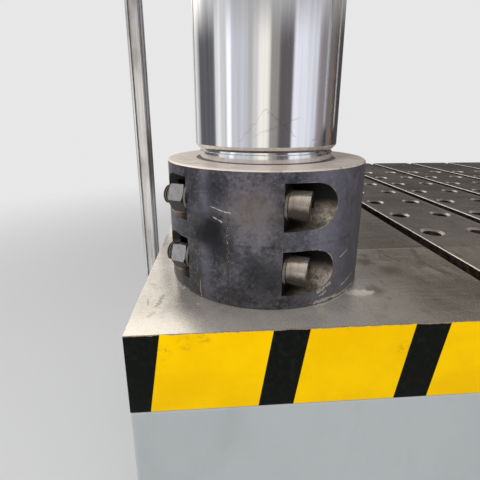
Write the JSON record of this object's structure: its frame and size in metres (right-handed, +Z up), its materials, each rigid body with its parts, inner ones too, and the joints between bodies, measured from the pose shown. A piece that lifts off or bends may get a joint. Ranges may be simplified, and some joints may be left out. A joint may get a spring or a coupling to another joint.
{
  "type": "hydraulic press",
  "caption": "Four-column hydraulic press with a slotted table, split column clamp nuts, a guided slide under its ram, a crown with oil tank and pumps, and a die cushion in the bed.",
  "frame": {"origin": "on the floor under the press's vertical axis", "axes": "+X along the front of the table to the operator's right, +Y from the operator's side to the back, +Z up"},
  "size_m": [3.316, 1.928, 6.1206],
  "materials": {
    "ground_steel": "ground top with stains and scuffs; black and yellow stripes on its front edge",
    "chrome": "hard chrome, polished, with fine scratches",
    "blackened_steel": "blackened steel with brown mottling and chipped edges",
    "bright_steel": "bare turned steel",
    "hex_steel": "dull grey steel",
    "bronze": "turned bronze",
    "grey_paint": "light grey machine paint",
    "dark_paint": "dark grey paint",
    "blue_paint": "blue motor paint",
    "yellow_paint": "safety yellow paint",
    "cast_iron": "machined casting",
    "aluminium": "anodised profile"
  },
  "bodies": {
    "root": {"bed_frame": "grey_paint", "table_plate": "ground_steel", "crown": "grey_paint", "column_front_left": "chrome", "column_front_right": "chrome", "column_back_left": "chrome", "column_back_right": "chrome", "clamp_nut_half_right": "blackened_steel", "clamp_nut_half_left": "blackened_steel", "clamp_screw_front_lower": "bright_steel", "clamp_screw_front_upper": "bright_steel", "clamp_screw_rear_lower": "bright_steel", "clamp_screw_rear_upper": "bright_steel", "head_washer_front_lower": "bright_steel", "head_washer_front_upper": "bright_steel", "head_washer_rear_lower": "bright_steel", "head_washer_rear_upper": "bright_steel", "nut_washer_front_lower": "bright_steel", "nut_washer_front_upper": "bright_steel", "nut_washer_rear_lower": "bright_steel", "nut_washer_rear_upper": "bright_steel", "clamp_hex_nut_front_lower": "hex_steel", "clamp_hex_nut_front_upper": "hex_steel", "clamp_hex_nut_rear_lower": "hex_steel", "clamp_hex_nut_rear_upper": "hex_steel", "table_nut_front_right": "blackened_steel", "table_nut_back_left": "blackened_steel", "table_nut_back_right": "blackened_steel", "bed_nut_front_left": "blackened_steel", "bed_nut_front_right": "blackened_steel", "bed_nut_back_left": "blackened_steel", "bed_nut_back_right": "blackened_steel", "crown_lower_nut_front_left": "blackened_steel", "crown_lower_nut_front_right": "blackened_steel", "crown_lower_nut_back_left": "blackened_steel", "crown_lower_nut_back_right": "blackened_steel", "crown_top_nut_front_left": "blackened_steel", "crown_top_nut_front_right": "blackened_steel", "crown_top_nut_back_left": "blackened_steel", "crown_top_nut_back_right": "blackened_steel", "main_cylinder": "grey_paint", "cylinder_gland": "bright_steel", "cylinder_lock_nut": "blackened_steel", "filling_valve": "cast_iron", "oil_tank": "grey_paint", "pump_motor_left": "blue_paint", "pump_motor_right": "blue_paint", "valve_manifold": "bright_steel", "pressure_pipe": "bright_steel", "ladder": "yellow_paint", "switch_rail": "aluminium", "cushion_cylinder": "grey_paint"},
    "slide": {"slide": "grey_paint", "main_ram": "chrome", "guide_bush_front_left": "bronze", "guide_bush_front_right": "bronze", "guide_bush_back_left": "bronze", "guide_bush_back_right": "bronze"},
    "cushion": {"cushion_plate": "dark_paint", "cushion_rod": "chrome"}
  },
  "joints": [
    {"name": "slide_stroke", "type": "slide", "parent": "root", "child": "slide", "axis": [0, 0, -1], "range_m": [0, 1]},
    {"name": "cushion_lift", "type": "slide", "parent": "root", "child": "cushion", "axis": [0, 0, 1], "range_m": [0, 0.25]}
  ]
}
